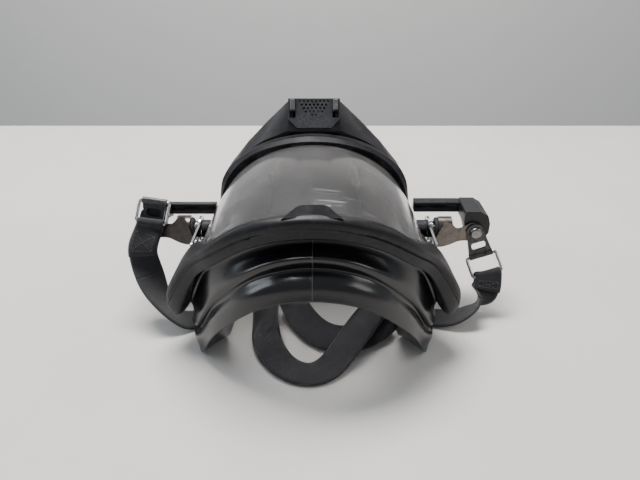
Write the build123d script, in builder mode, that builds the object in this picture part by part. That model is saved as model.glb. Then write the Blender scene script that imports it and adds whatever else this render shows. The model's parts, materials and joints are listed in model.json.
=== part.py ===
from build123d import *
from math import cos, pi, radians, sin
import os

# Full face respirator lying on its face seal, lens and front cover upward.
# Frame: X across the face, +Y from forehead to chin, +Z out of the face. Millimetres.

# ---- driving dimensions -------------------------------------------------
LENS_T = 2.6            # lens wall
COVER_T = 3.0           # front cover wall
RUBBER_T = 2.8          # face blank wall
FLAP = [12, 13, 17, 20, 21, 21, 18, 15, 13, 13, 13, 13, 13]     # turned-in seal flap, forehead to chin
WEB_T = 1.7             # webbing thickness
WEB_W = 19.0            # webbing width
PIVOT_Y, PIVOT_Z = 5.0, 51.5        # side bracket swivel axis
STUD_R = 3.0
SLEEVE_R = 8.2
SLEEVE_X0, SLEEVE_X1 = 84.4, 95.4
RIVET_X, RIVET_Z = 110.5, 2.5       # from the swivel axis
RIVET_R = 2.5
PLATE_Y0, PLATE_Y1 = -9.5, -8.3     # spring plate, from the swivel axis
TAB_Y0, TAB_Y1 = -11.2, -9.8
TAB_L = 18.5            # rivet to ring bar
RING_W, RING_H, RING_R = 20.4, 15.0, 1.1
RUN = 0.06              # running clearance on radius
LEAN = {1: 0.0, -1: -18.0}          # bracket angle about the swivel axis
TAB_ANGLE = {1: -20.0, -1: -188.0}  # tab angle about the rivet
RING_FOLD = {1: -50.0, -1: -158.0}  # ring angle about its bar
PORT_C, PORT_N = (0, 58.5, 121.2), (0, 0.5, 0.866)
PORT_BORE_R, PORT_R = 13.5, 17.0
EXH_C, EXH_N = (0, 84.3, 99.0), (0, 0.815, 0.58)
EXH_R, EXH_TUBE_R = 10.8, 9.4
GRILLE_C, GRILLE_N = (0, 28.5, 126.3), (0, -0.858, 0.513)
HOLE_PITCH, HOLE_R = 2.7, 0.8
DIAPHRAGM_R = 8.6
NOSE_VALVE = (30.5, 46, 74)
NOSE_VALVE_N = (0.93, -0.1, 0.36)

ORIGIN_SHIFT = (-2.53, -2.0, 0.25)    # puts the origin under the middle of the footprint

os.makedirs("parts", exist_ok=True)


def save(part, name):
    part = Pos(*ORIGIN_SHIFT) * part
    part.label = name
    export_step(part, f"parts/{name}.step")


def both(keys):
    """Closed list of points from the keys of the +X half."""
    return keys + [(-x, y, z) for x, y, z in reversed(keys[1:-1])]


def inset(keys, d, dz=0.0):
    """Keys moved inward by d, one number or one for each key, toward the middle, and up by dz."""
    out = []
    for k, (x, y, z) in enumerate(keys):
        r = (x * x + y * y) ** 0.5
        step = d[k] if isinstance(d, list) else d
        out.append((x - step * x / r, y - step * y / r, z + dz))
    return out


def skin(rings):
    """Closed tubular solid through closed rings of keys."""
    edges = [Edge.make_spline([Vector(*p) for p in both(r)], periodic=True) for r in rings]
    pairs = zip(edges, edges[1:] + edges[:1])
    return Solid(Shell([Face.make_surface_from_curves(a, b) for a, b in pairs]))


def bar(sections):
    """Solid through matching polygons, open at both ends and capped flat."""
    n = len(sections[0])
    edges = [Edge.make_spline([Vector(*s[j]) for s in sections]) for j in range(n)]
    faces = [Face.make_surface_from_curves(edges[j], edges[(j + 1) % n]) for j in range(n)]
    for s in (sections[0], sections[-1]):
        faces.append(Face(Wire.make_polygon([Vector(*p) for p in s], close=True)))
    return Solid(Shell(faces))


def mirrored(right, with_centre=True):
    """Sections of the +X half, from the centre out, made into the full span."""
    left = [[(-x, y, z) for x, y, z in s] for s in reversed(right[1:] if with_centre else right)]
    return left + right


def ribbon(path, thick=WEB_T):
    """Webbing through (centre, half-width vector) pairs."""
    sections = []
    for i, (c, w) in enumerate(path):
        a, b = path[max(i - 1, 0)][0], path[min(i + 1, len(path) - 1)][0]
        t = Vector(*b) - Vector(*a)
        w = Vector(*w)
        n = t.cross(w).normalized() * (thick / 2)
        w = w.normalized() * (WEB_W / 2)
        c = Vector(*c)
        sections.append([(p.X, p.Y, p.Z) for p in (c - w - n, c + w - n, c + w + n, c - w + n)])
    return bar(sections)


# ---- lens ---------------------------------------------------------------
def arch(y, a, h, zc, t):
    """Closed band of the lens arch at one station, drawn in the XZ plane."""
    zb = zc - h
    turn = [pi * k / 12 for k in range(13)]
    with BuildSketch(Plane.XZ.offset(-y)) as sk:
        with BuildLine():
            Spline(*[(a * cos(u), zb + h * sin(u)) for u in turn])
            Spline(*[((a - t) * cos(u), zb + (h - t) * sin(u)) for u in turn])
            Polyline((-a, zb), (-a, zb - 14), (-a + t, zb - 14), (-a + t, zb))
            Polyline((a - t, zb), (a - t, zb - 14), (a, zb - 14), (a, zb))
        make_face()
    return sk


LENS_STATIONS = [(-84, 75, 67, 102), (-56, 73.5, 67, 109), (-28, 71.5, 66, 112.6),
                 (0, 69.5, 63, 112.4), (24, 67.5, 59, 109)]

with BuildPart() as lens:
    for y, a, h, zc in LENS_STATIONS:
        add(arch(y, a, h, zc, LENS_T).sketch)
    loft()
    with BuildSketch(Plane.YZ) as outline:
        with BuildLine():
            Polyline((-90, 150), (-78.4, 105), (-73, 94), (-65.5, 80), (-59, 66), (-51, 44))
            Spline((-51, 44), (-44, 40), (-30, 42), (-8, 45.5), (8, 50), (15, 58), (17, 68))
            Polyline((17, 68), (16, 90), (14, 111), (13, 150), (-90, 150))
        make_face()
    extrude(amount=110, both=True, mode=Mode.INTERSECT)
save(lens.part, "lens")

# ---- lens frame ---------------------------------------------------------
# Each section: lens-side top, crest, front top edge, front bottom edge, inner bottom, lens underside.
UPPER = [
    [(0, -76.2, 104.9), (0, -79.3, 104.5), (0, -82, 103), (0, -82, 92), (0, -77, 91), (0, -67, 102)],
    [(20.7, -75.4, 102.5), (21.1, -78.4, 102.1), (21, -81, 100), (20.5, -80.5, 89), (20, -76, 88.5), (20, -66, 99)],
    [(41.8, -71.3, 94.7), (42.7, -74.0, 94.1), (42, -76.5, 91), (41, -76, 80), (39.5, -72, 80.5), (37, -63, 90)],
    [(60.6, -63.0, 79.8), (61.8, -65.6, 78.7), (62, -68, 77), (59, -69, 66), (57, -66, 68), (53.5, -56.5, 78)],
    [(70, -43, 69), (74, -46, 68), (78.5, -57, 60), (73, -62.5, 50.5), (70, -60.5, 54), (66.5, -48, 66)],
    [(75.6, -38, 54), (84, -40, 52), (93, -50.5, 36), (86, -57, 23), (81, -53, 25), (69.5, -44, 44)],
    [(76.4, -24, 51), (80.5, -25, 47), (83.5, -29, 38), (79, -31, 31), (74.5, -30, 32), (69, -26, 48)],
    [(74.8, -8, 53), (77.7, -8, 49), (78.5, -8, 42), (74.5, -8, 37), (70.5, -8, 37.5), (68, -8, 51)],
]
LOWER = [
    [(0, 10, 113.6), (0, 15, 115.5), (0, 21, 115.5), (0, 24, 110), (0, 21, 106), (0, 11, 107.8)],
    [(26.5, 11, 109.8), (27, 15, 111.5), (27, 21, 111.5), (26, 24, 106), (25, 21, 102.5), (25, 12, 104)],
    [(49, 12, 98.5), (50.5, 16, 100), (50, 22, 100), (48, 25, 94.5), (45.5, 22, 91.5), (45.5, 13, 93)],
    [(61.5, 13, 81.5), (63.8, 17, 83.5), (63.5, 23, 83.5), (61.5, 25.5, 78), (58, 23, 76), (57.5, 14, 77)],
    [(66.8, 14, 65), (67.2, 17, 66), (67, 21.5, 60), (65, 23.5, 54), (61, 21, 54.5), (62, 13, 62)],
    [(71, 5, 56), (72.6, 5, 53), (73.2, 6, 46), (71, 7, 41), (67.5, 7, 41.5), (66.8, 5, 54)],
    [(74.8, -7.6, 53), (77.7, -7.6, 49), (78.5, -7.6, 42), (74.5, -7.6, 37), (70.5, -7.6, 37.5),
     (68, -7.6, 51)],
]
LUG_X, LUG_Z = 80.5, 42.5       # ears that take the frame screws
SCREW_Y = -15.0



def screw_holes(s):
    """Clearance hole, head recess and nut recess of one frame screw."""
    with BuildPart() as cutter:
        for r, y0, y1 in ((1.7, -40, 20), (3.1, -34, SCREW_Y + 0.1), (3.5, -4.5, 4)):
            with BuildSketch(Plane((s * LUG_X, y0, LUG_Z), z_dir=(0, 1, 0))):
                Circle(r)
            extrude(amount=y1 - y0)
    return cutter.part


with BuildPart() as lens_frame_upper:
    add(bar(mirrored(UPPER)))
    with BuildSketch(Plane((0, -76.4, 103.4), x_dir=(1, 0, 0), z_dir=(0, -0.42, 0.908))) as tab:
        with Locations((0, 1.5)):
            Trapezoid(33, 13, 62)
    extrude(amount=2.6)
    with Locations((LUG_X, -11.4, LUG_Z), (-LUG_X, -11.4, LUG_Z)):
        Box(6.5, 7, 7.4)
    for s in (-1, 1):
        add(screw_holes(s), mode=Mode.SUBTRACT)
save(lens_frame_upper.part, "lens_frame_upper")

with BuildPart() as lens_frame_lower:
    add(bar(mirrored(LOWER)))
    with Locations((LUG_X, -6.05, LUG_Z), (-LUG_X, -6.05, LUG_Z)):
        Box(6.5, 3.1, 7.4)
    for s in (-1, 1):
        with BuildSketch(Plane((s * 70, PIVOT_Y, PIVOT_Z), z_dir=(s, 0, 0))):
            Circle(6.2)
        extrude(amount=8.3)
    for s in (-1, 1):
        add(screw_holes(s), mode=Mode.SUBTRACT)
save(lens_frame_lower.part, "lens_frame_lower")

for s, side in ((-1, "left"), (1, "right")):
    with BuildPart() as screw:
        with BuildSketch(Plane((s * LUG_X, SCREW_Y, LUG_Z), z_dir=(0, 1, 0))):
            Circle(1.5)
        extrude(amount=12.6)
        with BuildSketch(Plane((s * LUG_X, SCREW_Y - 2.3, LUG_Z), z_dir=(0, 1, 0))):
            Circle(2.8)
        extrude(amount=2.3)
        with BuildSketch(Plane((s * LUG_X, SCREW_Y - 2.3, LUG_Z), z_dir=(0, 1, 0))):
            RegularPolygon(1.3, 6)
        extrude(amount=1.3, mode=Mode.SUBTRACT)
    save(screw.part, f"frame_screw_{side}")
    with BuildPart() as nut:
        with BuildSketch(Plane((s * LUG_X, -4.4, LUG_Z), z_dir=(0, 1, 0))):
            RegularPolygon(2.75, 6, major_radius=False)
            Circle(1.53, mode=Mode.SUBTRACT)
        extrude(amount=2.2)
    save(nut.part, f"frame_nut_{side}")

# ---- face blank ---------------------------------------------------------
ROOT = [(0, -76.5, 95), (20, -75.5, 92.5), (39.5, -71.5, 84), (57, -64.5, 71.5), (69, -57.5, 57),
        (80, -49, 33), (75, -28, 37), (72, -8, 41), (70.5, 9, 44), (66.5, 26, 60), (57.5, 58, 69),
        (42, 77, 69), (0, 89.5, 69)]
RECESS = [(0, -76.5, 88), (20, -75.5, 85.5), (39, -71.5, 77), (56, -65, 64.5), (67.5, -58.5, 50),
          (77.5, -49, 24), (74.5, -29, 28), (71, -8, 34), (69.5, 9, 37), (66, 27, 50),
          (57, 59, 61), (42, 79, 61), (0, 93, 61)]
RIDGE = [(0, -88, 84), (20, -86.5, 80.5), (37, -81.5, 70), (52, -74, 54.5), (63, -68, 39),
         (76, -57, 16), (80, -34, 18), (77, -8, 24), (74, 12, 26), (69, 34, 36), (59, 63, 44),
         (44, 83, 46), (0, 100, 48)]
VALLEY = [(0, -86, 76.5), (20, -85, 73), (37, -80.5, 63), (52, -73.5, 47.5), (62.5, -67, 32.5),
          (73.5, -55.5, 12), (77, -34, 14), (74, -8, 18), (71, 13, 20), (66, 36, 29), (57, 64, 36),
          (43, 82, 39), (0, 97, 41)]
BULGE = [(0, -94, 71), (20, -92.5, 67.5), (37, -87.5, 57), (52, -80, 41), (63, -73.5, 26),
         (75, -60.5, 8.5), (79, -36, 10.5), (77, -8, 14), (74, 14, 14), (68, 38, 19), (58, 66, 27),
         (44, 84, 31), (0, 98, 34)]
LIP = [(0, -96, 62.5), (20, -94.5, 59), (37, -90, 49), (52, -83.5, 34), (63, -77, 18.5),
       (72, -65, 0.8), (76, -38, 5), (73, -8, 8), (70, 16, 6), (64.5, 38, 0.8), (56, 64, 16),
       (42, 80, 24), (0, 93, 27)]

with BuildPart() as face_blank:
    add(skin([ROOT, RECESS, RIDGE, VALLEY, BULGE, LIP,
              inset(LIP, FLAP, 1.4), inset(LIP, FLAP, 3.6), inset(LIP, 3.2, 3.6),
              inset(BULGE, RUBBER_T, 1.2), inset(VALLEY, RUBBER_T), inset(RIDGE, RUBBER_T, -0.6),
              inset(RECESS, RUBBER_T), inset(ROOT, RUBBER_T)]))
save(face_blank.part, "face_blank")

# ---- front cover --------------------------------------------------------
COVER = {
    23: [(64.5, 68), (62.5, 85.5), (51, 99.5), (35, 109.5), (18, 116.6), (0, 117)],
    34: [(62, 68), (59, 90), (45.5, 106.5), (30, 121.5), (16.5, 134.6), (0, 135.4)],
    40: [(61, 66), (58.5, 89), (46, 104.5), (32.5, 118.5), (20, 130.2), (0, 131.4)],
    76: [(47, 66), (45, 80), (40, 92), (33, 102), (25, 109.5), (0, 111)],
    92: [(32, 66), (30, 72), (26, 78), (21, 83), (14, 87), (0, 88)],
}


def cover_loft(t, low, ends):
    """Ruled loft of the cover sections, t inside the outline and open below."""
    with BuildPart() as body:
        for y, half in COVER.items():
            pts = []
            for k, (x, z) in enumerate(half):
                pts.append((max(x - t, 0) if k < 5 else 0, z - (t if k else 0) * 0.9 - (low if not k else 0)))
            with BuildSketch(Plane.XZ.offset(-ends.get(y, y))):
                with BuildLine():
                    Polyline(*pts, *[(-x, z) for x, z in reversed(pts[:-1])], close=True)
                make_face()
        loft(ruled=True)
    return body.part


grille_plane = Plane(GRILLE_C, x_dir=(1, 0, 0), z_dir=GRILLE_N)
port_plane = Plane(PORT_C, x_dir=(1, 0, 0), z_dir=PORT_N)
exhale_plane = Plane(EXH_C, x_dir=(1, 0, 0), z_dir=EXH_N)
PANEL = [(-17.4, 10.2), (17.4, 10.2), (17.4, -3.5), (11.5, -9.6), (-11.5, -9.6), (-17.4, -3.5)]
SLOT_X, SLOT_Y, SLOT_W, SLOT_L = 14.4, 3.6, 4.0, 12.4
LATCH_W, LATCH_L, LATCH_TRAVEL = 3.4, 7.4, 4.4

with BuildPart() as front_cover:
    add(cover_loft(0, 0, {}))
    add(cover_loft(COVER_T, 2, {23: 22, 92: 89}), mode=Mode.SUBTRACT)
    with BuildSketch(grille_plane.offset(-9)):
        Circle(DIAPHRAGM_R + 1.2)
    extrude(amount=15, mode=Mode.SUBTRACT)
    with BuildSketch(grille_plane.offset(-1.6)):
        with Locations((-SLOT_X, SLOT_Y), (SLOT_X, SLOT_Y)):
            Rectangle(SLOT_W, SLOT_L)
    extrude(amount=12, mode=Mode.SUBTRACT)
    with BuildSketch(port_plane.offset(-8)):
        Circle(PORT_R + 0.02)
    extrude(amount=16, mode=Mode.SUBTRACT)
    with BuildSketch(exhale_plane.offset(-8)):
        Circle(EXH_R + 0.1)
    extrude(amount=16, mode=Mode.SUBTRACT)
save(front_cover.part, "front_cover")

with BuildPart() as grille_panel:
    with BuildSketch(grille_plane.offset(0.35)):
        Polygon(*PANEL, align=None)
        with Locations((-SLOT_X, SLOT_Y), (SLOT_X, SLOT_Y)):
            Rectangle(SLOT_W, SLOT_L, mode=Mode.SUBTRACT)
    extrude(amount=1.5)
    rows = ((8, 0), (7, 1), (6, 2), (5, 3), (2, 4))
    spots = [((k - (n - 1) / 2) * HOLE_PITCH, 8.4 - r * HOLE_PITCH * 0.866) for n, r in rows for k in range(n)]
    with BuildSketch(grille_plane):
        with Locations(*spots):
            Circle(HOLE_R)
    extrude(amount=3, mode=Mode.SUBTRACT)
save(grille_panel.part, "grille_panel")

for s, side in ((-1, "left"), (1, "right")):
    with BuildPart() as latch:
        with BuildSketch(grille_plane.offset(-1.1)):
            with Locations((s * SLOT_X, SLOT_Y + (SLOT_L - LATCH_L) / 2 - 0.3)):
                Rectangle(LATCH_W, LATCH_L)
        extrude(amount=4.6)
        fillet(latch.faces().sort_by(Axis(GRILLE_C, GRILLE_N))[-1].edges(), 0.6)
    save(latch.part, f"cover_latch_{side}")

# ---- speaking diaphragm behind the grille -------------------------------
with BuildPart() as diaphragm_housing:
    with BuildSketch(grille_plane.offset(-7.6)):
        Circle(DIAPHRAGM_R + 1.1)
    extrude(amount=7.4)
    with BuildSketch(grille_plane.offset(-5.6)):
        Circle(DIAPHRAGM_R)
    extrude(amount=6, mode=Mode.SUBTRACT)
    with BuildSketch(grille_plane.offset(-8)):
        Circle(DIAPHRAGM_R - 1.6)
    extrude(amount=3, mode=Mode.SUBTRACT)
save(diaphragm_housing.part, "diaphragm_housing")

with BuildPart() as diaphragm_gasket:
    with BuildSketch(grille_plane.offset(-5.5)):
        Circle(DIAPHRAGM_R - 0.1)
        Circle(DIAPHRAGM_R - 1.6, mode=Mode.SUBTRACT)
    extrude(amount=0.9)
save(diaphragm_gasket.part, "diaphragm_gasket")

with BuildPart() as speaking_diaphragm:
    with BuildSketch(grille_plane.offset(-4.55)):
        Circle(DIAPHRAGM_R - 0.1)
    extrude(amount=0.4)
save(speaking_diaphragm.part, "speaking_diaphragm")

with BuildPart() as diaphragm_clamp:
    with BuildSketch(grille_plane.offset(-4.1)):
        Circle(DIAPHRAGM_R - 0.05)
        Circle(DIAPHRAGM_R - 1.8, mode=Mode.SUBTRACT)
    extrude(amount=2.2)
save(diaphragm_clamp.part, "diaphragm_clamp")

# ---- regulator port with its inhalation valve ---------------------------
PORT_BACK, PORT_SHELF, PORT_FRONT = -11.0, -4.2, 2.8     # along the port's axis
SEAL_R, SEAL_DEPTH = 12.6, 1.3                           # gasket seat under the shelf
with BuildPart() as regulator_port:
    with BuildSketch(port_plane.offset(PORT_BACK)):
        Circle(PORT_R)
    extrude(amount=PORT_FRONT - PORT_BACK)
    with BuildSketch(port_plane.offset(-6.2)):
        Circle(PORT_R + 1.8)
    extrude(amount=2)
    with BuildSketch(port_plane.offset(PORT_SHELF)):
        Circle(PORT_BORE_R)
    extrude(amount=10, mode=Mode.SUBTRACT)
    with BuildSketch(port_plane.offset(PORT_SHELF - SEAL_DEPTH)):
        Circle(SEAL_R)
    extrude(amount=2, mode=Mode.SUBTRACT)
    with BuildSketch(port_plane.offset(PORT_BACK + 1.6)):
        Circle(SEAL_R - 1.4)
    extrude(amount=6, mode=Mode.SUBTRACT)
    with BuildSketch(port_plane.offset(PORT_BACK - 1)):
        Circle(9.5)
        Rectangle(20, 1.6, mode=Mode.SUBTRACT)
        Rectangle(1.6, 20, mode=Mode.SUBTRACT)
        Circle(2.6, mode=Mode.SUBTRACT)
    extrude(amount=5, mode=Mode.SUBTRACT)
    with BuildSketch(port_plane.offset(PORT_BACK - 1)):
        Circle(1.05)
    extrude(amount=5, mode=Mode.SUBTRACT)
save(regulator_port.part, "regulator_port")

with BuildPart() as port_gasket:
    with BuildSketch(port_plane.offset(PORT_SHELF - SEAL_DEPTH + 0.02)):
        Circle(SEAL_R - 0.05)
        Circle(SEAL_R - 1.3, mode=Mode.SUBTRACT)
    extrude(amount=SEAL_DEPTH - 0.1)
save(port_gasket.part, "port_gasket")

with BuildPart() as inhalation_valve:
    with BuildSketch(port_plane.offset(PORT_BACK - 0.9)):
        Circle(10.2)
    extrude(amount=0.8)
    with BuildSketch(port_plane.offset(PORT_BACK - 0.3)):
        Circle(1.0)
    extrude(amount=4.2)
    with BuildSketch(port_plane.offset(PORT_BACK + 3.7)):
        Circle(1.9)
    extrude(amount=0.7)
save(inhalation_valve.part, "inhalation_valve")

# ---- exhalation valve at the chin ---------------------------------------
with BuildPart() as exhalation_seat:
    with BuildSketch(exhale_plane.offset(-7)):
        Circle(EXH_R)
        Circle(9.2, mode=Mode.SUBTRACT)
    extrude(amount=8.5)
    with BuildSketch(exhale_plane.offset(-14.5)):
        Circle(EXH_TUBE_R)
        Circle(7.4, mode=Mode.SUBTRACT)
    extrude(amount=9.3)
    with BuildSketch(exhale_plane.offset(-7)):
        Rectangle(16, 1.4)
        Rectangle(1.4, 16)
        Circle(2.4)
        Circle(1.05, mode=Mode.SUBTRACT)
    extrude(amount=1.8)
save(exhalation_seat.part, "exhalation_seat")

with BuildPart() as exhalation_valve:
    with BuildSketch(exhale_plane.offset(-5.1)):
        Circle(8.6)
    extrude(amount=0.9)
    with BuildSketch(exhale_plane.offset(-8.4)):
        Circle(1.0)
    extrude(amount=4)
save(exhalation_valve.part, "exhalation_valve")

with BuildPart() as exhalation_spring:
    with BuildLine():
        coil = Helix(pitch=1.0, height=3.4, radius=2.6)
    with BuildSketch(Plane(coil @ 0, z_dir=coil % 0)):
        Circle(0.22)
    sweep(path=coil)
save(exhale_plane.offset(-3.8).location * exhalation_spring.part, "exhalation_spring")

with BuildPart() as exhalation_cover:
    with BuildSketch(exhale_plane.offset(0.3)):
        Circle(9.15)
        with PolarLocations(5.8, 8):
            Rectangle(4.4, 1.9, mode=Mode.SUBTRACT)
    extrude(amount=1.6)
save(exhalation_cover.part, "exhalation_cover")

# ---- nose cup -----------------------------------------------------------
def port_ring(offset, radius):
    """Five keys of a half circle round the port's axis, from the forehead side to the chin side."""
    ring_plane = port_plane.offset(offset)
    angles = [radians(a) for a in (-90, -45, 0, 45, 90)]
    points = [ring_plane.from_local_coords((radius * cos(a), radius * sin(a), 0)) for a in angles]
    return [(0 if a in (angles[0], angles[-1]) else p.X, p.Y, p.Z) for a, p in zip(angles, points)]


CUP_TOP = port_ring(-9, PORT_R + 2.3)
CUP_NECK = port_ring(-16, PORT_R + 2.1)
CUP_MID = [(0, 30, 96), (20, 38, 90), (29, 52, 80), (23, 70, 71), (0, 79, 68)]
CUP_LOW = [(0, 16, 76), (22, 30, 68), (35, 48, 58), (27, 70, 52), (0, 80, 50)]
CUP_LIP = [(0, 8, 62), (22, 22, 50), (37, 44, 41), (29, 68, 39), (0, 79, 41)]

with BuildPart() as nose_cup:
    def pull(keys, d, dz=0.0):
        return [(x * (1 - d / 30), 56 + (y - 56) * (1 - d / 30), z + dz) for x, y, z in keys]
    add(skin([CUP_TOP, CUP_NECK, CUP_MID, CUP_LOW, CUP_LIP, pull(CUP_LIP, 6, 1.5), pull(CUP_LIP, 6, 3.4),
              pull(CUP_LIP, 2.4, 4), pull(CUP_LOW, 2), pull(CUP_MID, 2),
              pull(CUP_NECK, 2), pull(CUP_TOP, 2)]))
    with BuildSketch(exhale_plane.offset(-20)):
        Circle(EXH_TUBE_R + 0.1)
    extrude(amount=19, mode=Mode.SUBTRACT)
    for s in (-1, 1):
        x, y, z = NOSE_VALVE
        u, v, w = NOSE_VALVE_N
        with BuildSketch(Plane((s * x, y, z), z_dir=(s * u, v, w)).offset(-6)):
            Circle(7.5)
        extrude(amount=10, mode=Mode.SUBTRACT)
save(nose_cup.part, "nose_cup")

for s, side in ((-1, "left"), (1, "right")):
    x, y, z = NOSE_VALVE
    u, v, w = NOSE_VALVE_N
    base = Plane((s * x, y, z), z_dir=(-s * u, -v, -w))
    with BuildPart() as seat:
        with BuildSketch(base.offset(-2)):
            Circle(7.6)
            Circle(6.1, mode=Mode.SUBTRACT)
        extrude(amount=3)
        with BuildSketch(base.offset(-2)):
            Rectangle(13, 1.2)
            Rectangle(1.2, 13)
            Circle(2)
            Circle(1.05, mode=Mode.SUBTRACT)
        extrude(amount=1.2)
    save(seat.part, f"nose_valve_seat_{side}")
    with BuildPart() as disc:
        with BuildSketch(base.offset(-0.7)):
            Circle(5.8)
        extrude(amount=0.7)
        with BuildSketch(base.offset(-4.6)):
            Circle(1.0)
        extrude(amount=4.2)
        with BuildSketch(base.offset(-5.2)):
            Circle(1.7)
        extrude(amount=0.7)
    save(disc.part, f"nose_valve_disc_{side}")

# ---- side brackets: adapter arms with tab, ring and webbing -------------
def place(part, s):
    """Carry a part drawn about the swivel axis for the +X side to side s."""
    part = part if s > 0 else mirror(part, about=Plane.YZ)
    return Pos(0, PIVOT_Y, PIVOT_Z) * Rot(X=LEAN[s]) * part


def disc_x(r, x0, x1, hole=0.0):
    with BuildPart() as p:
        with BuildSketch(Plane.YZ.offset(x0)):
            Circle(r)
            if hole:
                Circle(hole, mode=Mode.SUBTRACT)
        extrude(amount=x1 - x0)
    return p.part


RIVET = (RIVET_X, 0, RIVET_Z)
BLOCK = [(102.5, 8.5), (102.5, 17.2), (113, 17.2), (118.5, 14), (120.5, 8), (120.5, 1), (117.5, -4),
         (107, -4), (104.5, 2)]
PLATE = [(89, 9.3), (94, 8.4), (98.5, 5), (102.5, 6.4), (106, 9), (111, 9.3), (114.5, 6.5), (115.5, 1),
         (112, -3.6), (106, -4.4), (101, -4.6), (95, -7.2), (89, -9.3)]

for s, side in ((-1, "left"), (1, "right")):
    # fixed to the frame
    with BuildPart() as swivel_stud:
        add(disc_x(STUD_R, 72.5, 97.2))
        add(disc_x(4.4, 95.7, 97.2))
    save(place(swivel_stud.part, s), f"swivel_stud_{side}")
    with BuildPart() as side_plate:
        with BuildSketch(Plane.YZ.offset(78.6)):
            Circle(9)
            with Locations((-16.5, 2.8)):
                RectangleRounded(33, 7.4, 2)
            Circle(STUD_R + 0.02, mode=Mode.SUBTRACT)
            with PolarLocations(6, 3, 60):
                Circle(1.4, mode=Mode.SUBTRACT)
            with Locations((-24, 2.8)):
                RectangleRounded(12, 3.4, 1.5, mode=Mode.SUBTRACT)
        extrude(amount=1.4)
    fixed = side_plate.part if s > 0 else mirror(side_plate.part, about=Plane.YZ)
    save(Pos(0, PIVOT_Y, PIVOT_Z) * fixed, f"side_plate_{side}")
    with BuildPart() as swivel_spring:
        with BuildLine():
            coil = Helix(pitch=1.4, height=2.6, radius=5, center=(80.9, 0, 0), direction=(1, 0, 0))
        with BuildSketch(Plane(coil @ 0, z_dir=coil % 0)):
            Circle(0.6)
        sweep(path=coil)
    save(place(swivel_spring.part, s), f"swivel_spring_{side}")

    # turn together about the stud
    sleeve = disc_x(SLEEVE_R, SLEEVE_X0, SLEEVE_X1, STUD_R + RUN)
    save(place(sleeve, s), f"rubber_sleeve_{side}")
    with BuildPart() as spring_plate:
        with BuildSketch(Plane.YZ.offset(86)):
            Circle(9.5)
            Circle(8.3, mode=Mode.SUBTRACT)
            with Locations((10.5, 0)):
                Rectangle(20, 30, mode=Mode.SUBTRACT)
        extrude(amount=9.5)
        with BuildSketch(Plane.XZ.offset(-PLATE_Y1)):
            with BuildLine():
                Spline(*PLATE, PLATE[0])
            make_face()
            with Locations((RIVET_X, RIVET_Z)):
                Circle(RIVET_R, mode=Mode.SUBTRACT)
        extrude(amount=PLATE_Y1 - PLATE_Y0)
    save(place(spring_plate.part, s), f"spring_plate_{side}")
    with BuildPart() as arm_end_block:
        with BuildSketch(Plane.XZ.offset(8.1)):
            Polygon(*BLOCK, align=None)
        extrude(amount=-23.1)
        fillet(arm_end_block.edges().filter_by(Axis.Y), 1.6)
        with BuildSketch(Plane.XZ.offset(-2)):
            with Locations((111, 1)):
                Rectangle(30, 12)
        extrude(amount=-20, mode=Mode.SUBTRACT)
        with BuildSketch(Plane.XZ.offset(12)):
            with Locations((RIVET_X, RIVET_Z)):
                Circle(RIVET_R)
        extrude(amount=-10, mode=Mode.SUBTRACT)
    save(place(arm_end_block.part, s), f"arm_end_block_{side}")
    with BuildPart() as knurled_arm:
        with Locations((86.4, 11.2, 13.2)):
            Box(31.8, 8, 8.2)
        fillet(knurled_arm.edges().filter_by(Axis.X), 0.8)
        grooves = [Location((72.4 + 1.9 * k, 11.2, 17.5), (0, 45, 0)) for k in range(16)]
        with Locations(*grooves):
            Box(0.8, 6.4, 0.8, mode=Mode.SUBTRACT)
    save(place(knurled_arm.part, s), f"knurled_arm_{side}")
    with BuildPart() as rivet:
        with BuildSketch(Plane.XZ.offset(11.6)):
            with Locations((RIVET_X, RIVET_Z)):
                Circle(RIVET_R)
        extrude(amount=-9)
        with BuildSketch(Plane.XZ.offset(11.3)):
            with Locations((RIVET_X, RIVET_Z)):
                Circle(4.2)
        extrude(amount=1.9)
        fillet(rivet.faces().sort_by(Axis.Y)[0].edges(), 1.6)
    save(place(rivet.part, s), f"rivet_{side}")

    # turns about the rivet
    hem_y = (TAB_Y0 + TAB_Y1) / 2
    with BuildPart() as strap_tab:
        with BuildSketch(Plane.XZ.offset(-TAB_Y1)):
            with BuildLine():
                Polyline((-5.6, 2), (-8.2, -TAB_L), (8.2, -TAB_L), (5.6, 2))
                ThreePointArc((5.6, 2), (0, 6.3), (-5.6, 2))
            make_face()
            Circle(RIVET_R + RUN, mode=Mode.SUBTRACT)
            with Locations((0, -10.6)):
                RectangleRounded(9.6, 5.6, 1.6, mode=Mode.SUBTRACT)
        extrude(amount=TAB_Y1 - TAB_Y0)
        with BuildSketch(Plane.YZ.offset(-8.2)):
            with Locations((hem_y, -TAB_L)):
                Circle(2.3)
        extrude(amount=16.4)
        with BuildSketch(Plane.YZ.offset(-9)):
            with Locations((hem_y, -TAB_L)):
                Circle(RING_R + RUN)
        extrude(amount=18, mode=Mode.SUBTRACT)
    tab_place = Pos(*RIVET) * Rot(Y=TAB_ANGLE[s])
    save(place(tab_place * strap_tab.part, s), f"strap_tab_{side}")

    # turns about its bar in the tab's hem
    with BuildPart() as strap_ring:
        with BuildLine(Plane.XZ) as wire:
            w = RING_W / 2
            Polyline((0, 0), (w, 0), (w, -RING_H), (-w, -RING_H), (-w, 0), (0, 0))
            fillet(wire.vertices().filter_by_position(Axis.X, 1, 20), 2.4)
            fillet(wire.vertices().filter_by_position(Axis.X, -20, -1).sort_by(Axis.Z)[-1:]
                   + wire.vertices().filter_by_position(Axis.X, -20, -1).sort_by(Axis.Z)[:1], 2.4)
        with BuildSketch(Plane.YZ):
            Circle(RING_R)
        sweep(path=wire.wires()[0])
    ring_place = tab_place * Pos(0, hem_y, -TAB_L) * Rot(X=RING_FOLD[s])
    save(place(ring_place * strap_ring.part, s), f"strap_ring_{side}")

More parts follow.
